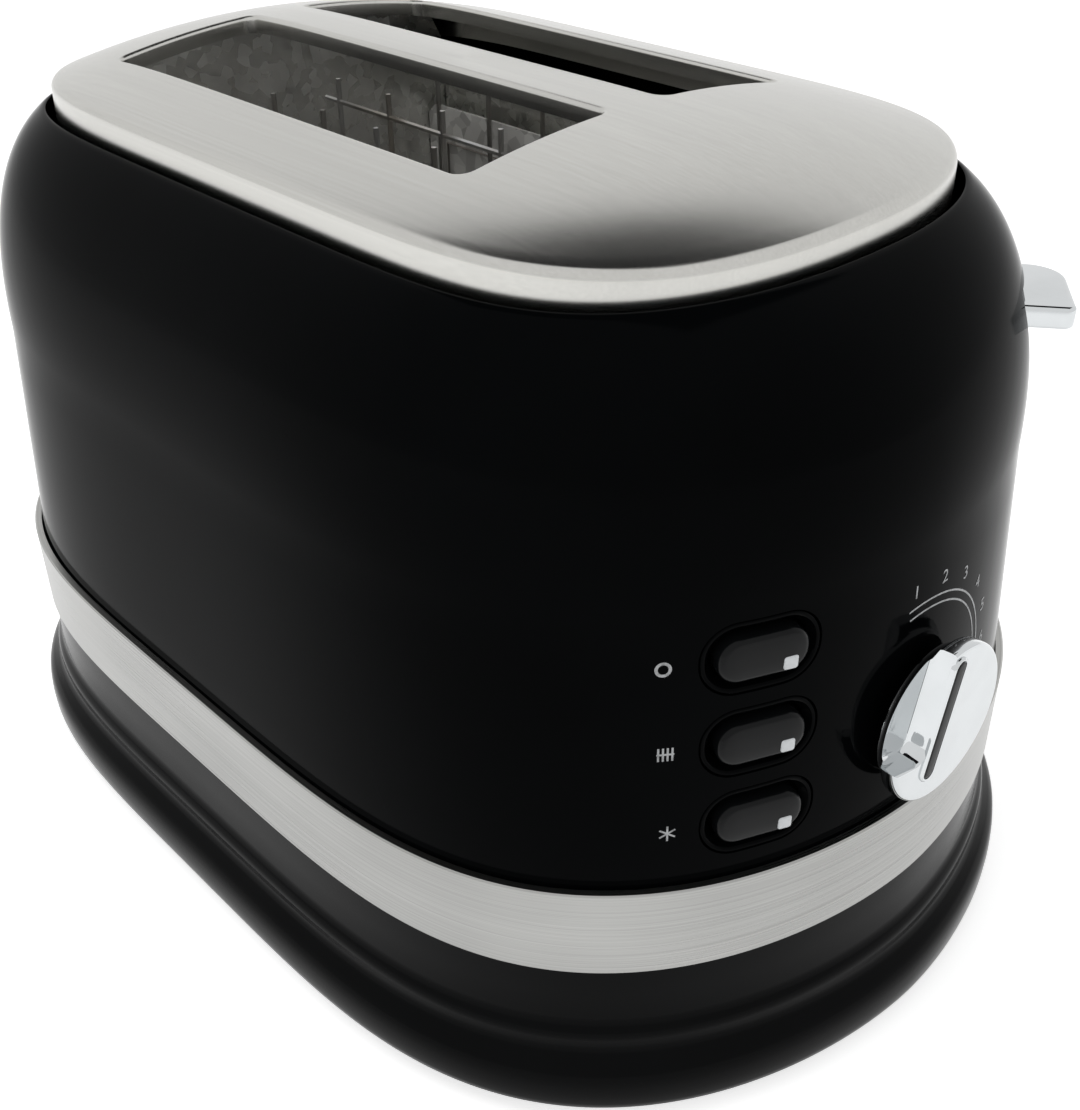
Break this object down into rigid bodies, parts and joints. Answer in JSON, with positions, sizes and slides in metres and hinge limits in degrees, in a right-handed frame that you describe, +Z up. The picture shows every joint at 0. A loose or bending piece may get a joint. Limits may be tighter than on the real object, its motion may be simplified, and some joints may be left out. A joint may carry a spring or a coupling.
{
  "type": "toaster",
  "caption": "Rounded toaster with a crowned steel lid, two bread slots, a corner lever, a browning dial, a column of keys and a crumb tray drawn out at the back.",
  "frame": {"origin": "middle of the overall footprint, on the surface that the feet stand on", "axes": "+Z up; the dial, keys and lever face -Y; the crumb tray is drawn out towards +Y; the slots run along Y"},
  "size_m": [0.201, 0.2938, 0.1905],
  "materials": {
    "black_plastic": "satin",
    "rubber": "matt",
    "brushed_steel": "fine brushed",
    "gloss_black_paint": "gloss enamel",
    "zinc_plate": "zinc plated",
    "mica": "pressed mica sheet",
    "heating_alloy": "oxidised resistance wire",
    "spring_steel": "drawn wire",
    "copper": "enamelled copper winding",
    "cream_plastic": "moulded",
    "circuit_board": "coated laminate",
    "chrome": "polished",
    "black_inlay": "satin",
    "clear_lens": "clear, drawn solid"
  },
  "bodies": {
    "body": {"base_moulding": "black_plastic", "rubber_foot_1": "rubber", "rubber_foot_2": "rubber", "rubber_foot_3": "rubber", "rubber_foot_4": "rubber", "trim_band": "brushed_steel", "body_shell": "gloss_black_paint", "top_plate": "brushed_steel", "chassis_front_plate": "zinc_plate", "chassis_rear_plate": "zinc_plate", "heat_reflector_left": "zinc_plate", "heat_reflector_right": "zinc_plate", "heater_board_left_outer": "mica", "heater_board_left_inner": "mica", "heater_board_right_outer": "mica", "heater_board_right_inner": "mica", "heating_wire_left_outer": "heating_alloy", "heating_wire_left_inner": "heating_alloy", "heating_wire_right_outer": "heating_alloy", "heating_wire_right_inner": "heating_alloy", "guide_rod": "spring_steel", "carriage_spring": "spring_steel", "magnet_core": "zinc_plate", "magnet_coil": "copper", "contact_block": "cream_plastic", "control_board": "circuit_board", "browning_potentiometer": "zinc_plate", "key_housing": "black_plastic", "switch_board": "circuit_board", "key_switch_1": "cream_plastic", "key_switch_2": "cream_plastic", "key_switch_3": "cream_plastic", "cord_outlet_bush": "rubber", "lever_channel": "black_plastic", "base_screw_1": "zinc_plate", "base_screw_2": "zinc_plate", "base_screw_3": "zinc_plate", "base_screw_4": "zinc_plate"},
    "carriage": {"carriage_slider": "zinc_plate", "slider_bush": "cream_plastic", "bread_rack_left": "zinc_plate", "bread_rack_right": "zinc_plate", "lever_arm": "zinc_plate", "lever_handle": "chrome", "magnet_keeper": "zinc_plate"},
    "guard_left_outer": {"bread_guard_left_outer": "spring_steel"},
    "guard_left_inner": {"bread_guard_left_inner": "spring_steel"},
    "guard_right_outer": {"bread_guard_right_outer": "spring_steel"},
    "guard_right_inner": {"bread_guard_right_inner": "spring_steel"},
    "dial": {"browning_dial": "chrome", "dial_pointer": "black_inlay", "dial_shaft": "zinc_plate"},
    "cancel": {"cancel_key": "black_plastic", "cancel_lamp": "clear_lens"},
    "reheat": {"reheat_key": "black_plastic", "reheat_lamp": "clear_lens"},
    "defrost": {"defrost_key": "black_plastic", "defrost_lamp": "clear_lens"},
    "tray": {"crumb_tray": "zinc_plate", "tray_front": "black_plastic"}
  },
  "joints": [
    {"name": "carriage_slide", "type": "slide", "parent": "body", "child": "carriage", "axis": [0, 0, -1], "range_m": [0, 0.07], "stiffness_N_per_m": 110, "springref_m": -0.03, "deforming": ["carriage_spring"]},
    {"name": "guard_left_outer_lean", "type": "hinge", "parent": "body", "child": "guard_left_outer", "pos_m": [-0.0439, 0, 0.026], "axis": [0, 1, 0], "range_deg": [0, 3.6]},
    {"name": "guard_left_inner_lean", "type": "hinge", "parent": "body", "child": "guard_left_inner", "pos_m": [-0.0102, 0, 0.026], "axis": [0, -1, 0], "range_deg": [0, 3.6]},
    {"name": "guard_right_outer_lean", "type": "hinge", "parent": "body", "child": "guard_right_outer", "pos_m": [0.0439, 0, 0.026], "axis": [0, -1, 0], "range_deg": [0, 3.6]},
    {"name": "guard_right_inner_lean", "type": "hinge", "parent": "body", "child": "guard_right_inner", "pos_m": [0.0102, 0, 0.026], "axis": [0, 1, 0], "range_deg": [0, 3.6]},
    {"name": "dial_turn", "type": "hinge", "parent": "body", "child": "dial", "pos_m": [-0.003, -0.14, 0.086], "axis": [0, 1, 0], "range_deg": [-147.5, 120.5]},
    {"name": "cancel_press", "type": "slide", "parent": "body", "child": "cancel", "axis": [0.3909, 0.9204, 0], "range_m": [0, 0.002], "stiffness_N_per_m": 500, "springref_m": -0.001},
    {"name": "reheat_press", "type": "slide", "parent": "body", "child": "reheat", "axis": [0.3909, 0.9204, 0], "range_m": [0, 0.002], "stiffness_N_per_m": 500, "springref_m": -0.001},
    {"name": "defrost_press", "type": "slide", "parent": "body", "child": "defrost", "axis": [0.3909, 0.9204, 0], "range_m": [0, 0.002], "stiffness_N_per_m": 500, "springref_m": -0.001},
    {"name": "tray_slide", "type": "slide", "parent": "body", "child": "tray", "axis": [0, 1, 0], "range_m": [0, 0.18]}
  ],
  "couplings": [
    {"joint": "guard_left_outer_lean", "follows": "carriage_slide", "rad_per_m": 0.87},
    {"joint": "guard_left_inner_lean", "follows": "carriage_slide", "rad_per_m": 0.87},
    {"joint": "guard_right_outer_lean", "follows": "carriage_slide", "rad_per_m": 0.87},
    {"joint": "guard_right_inner_lean", "follows": "carriage_slide", "rad_per_m": 0.87}
  ]
}
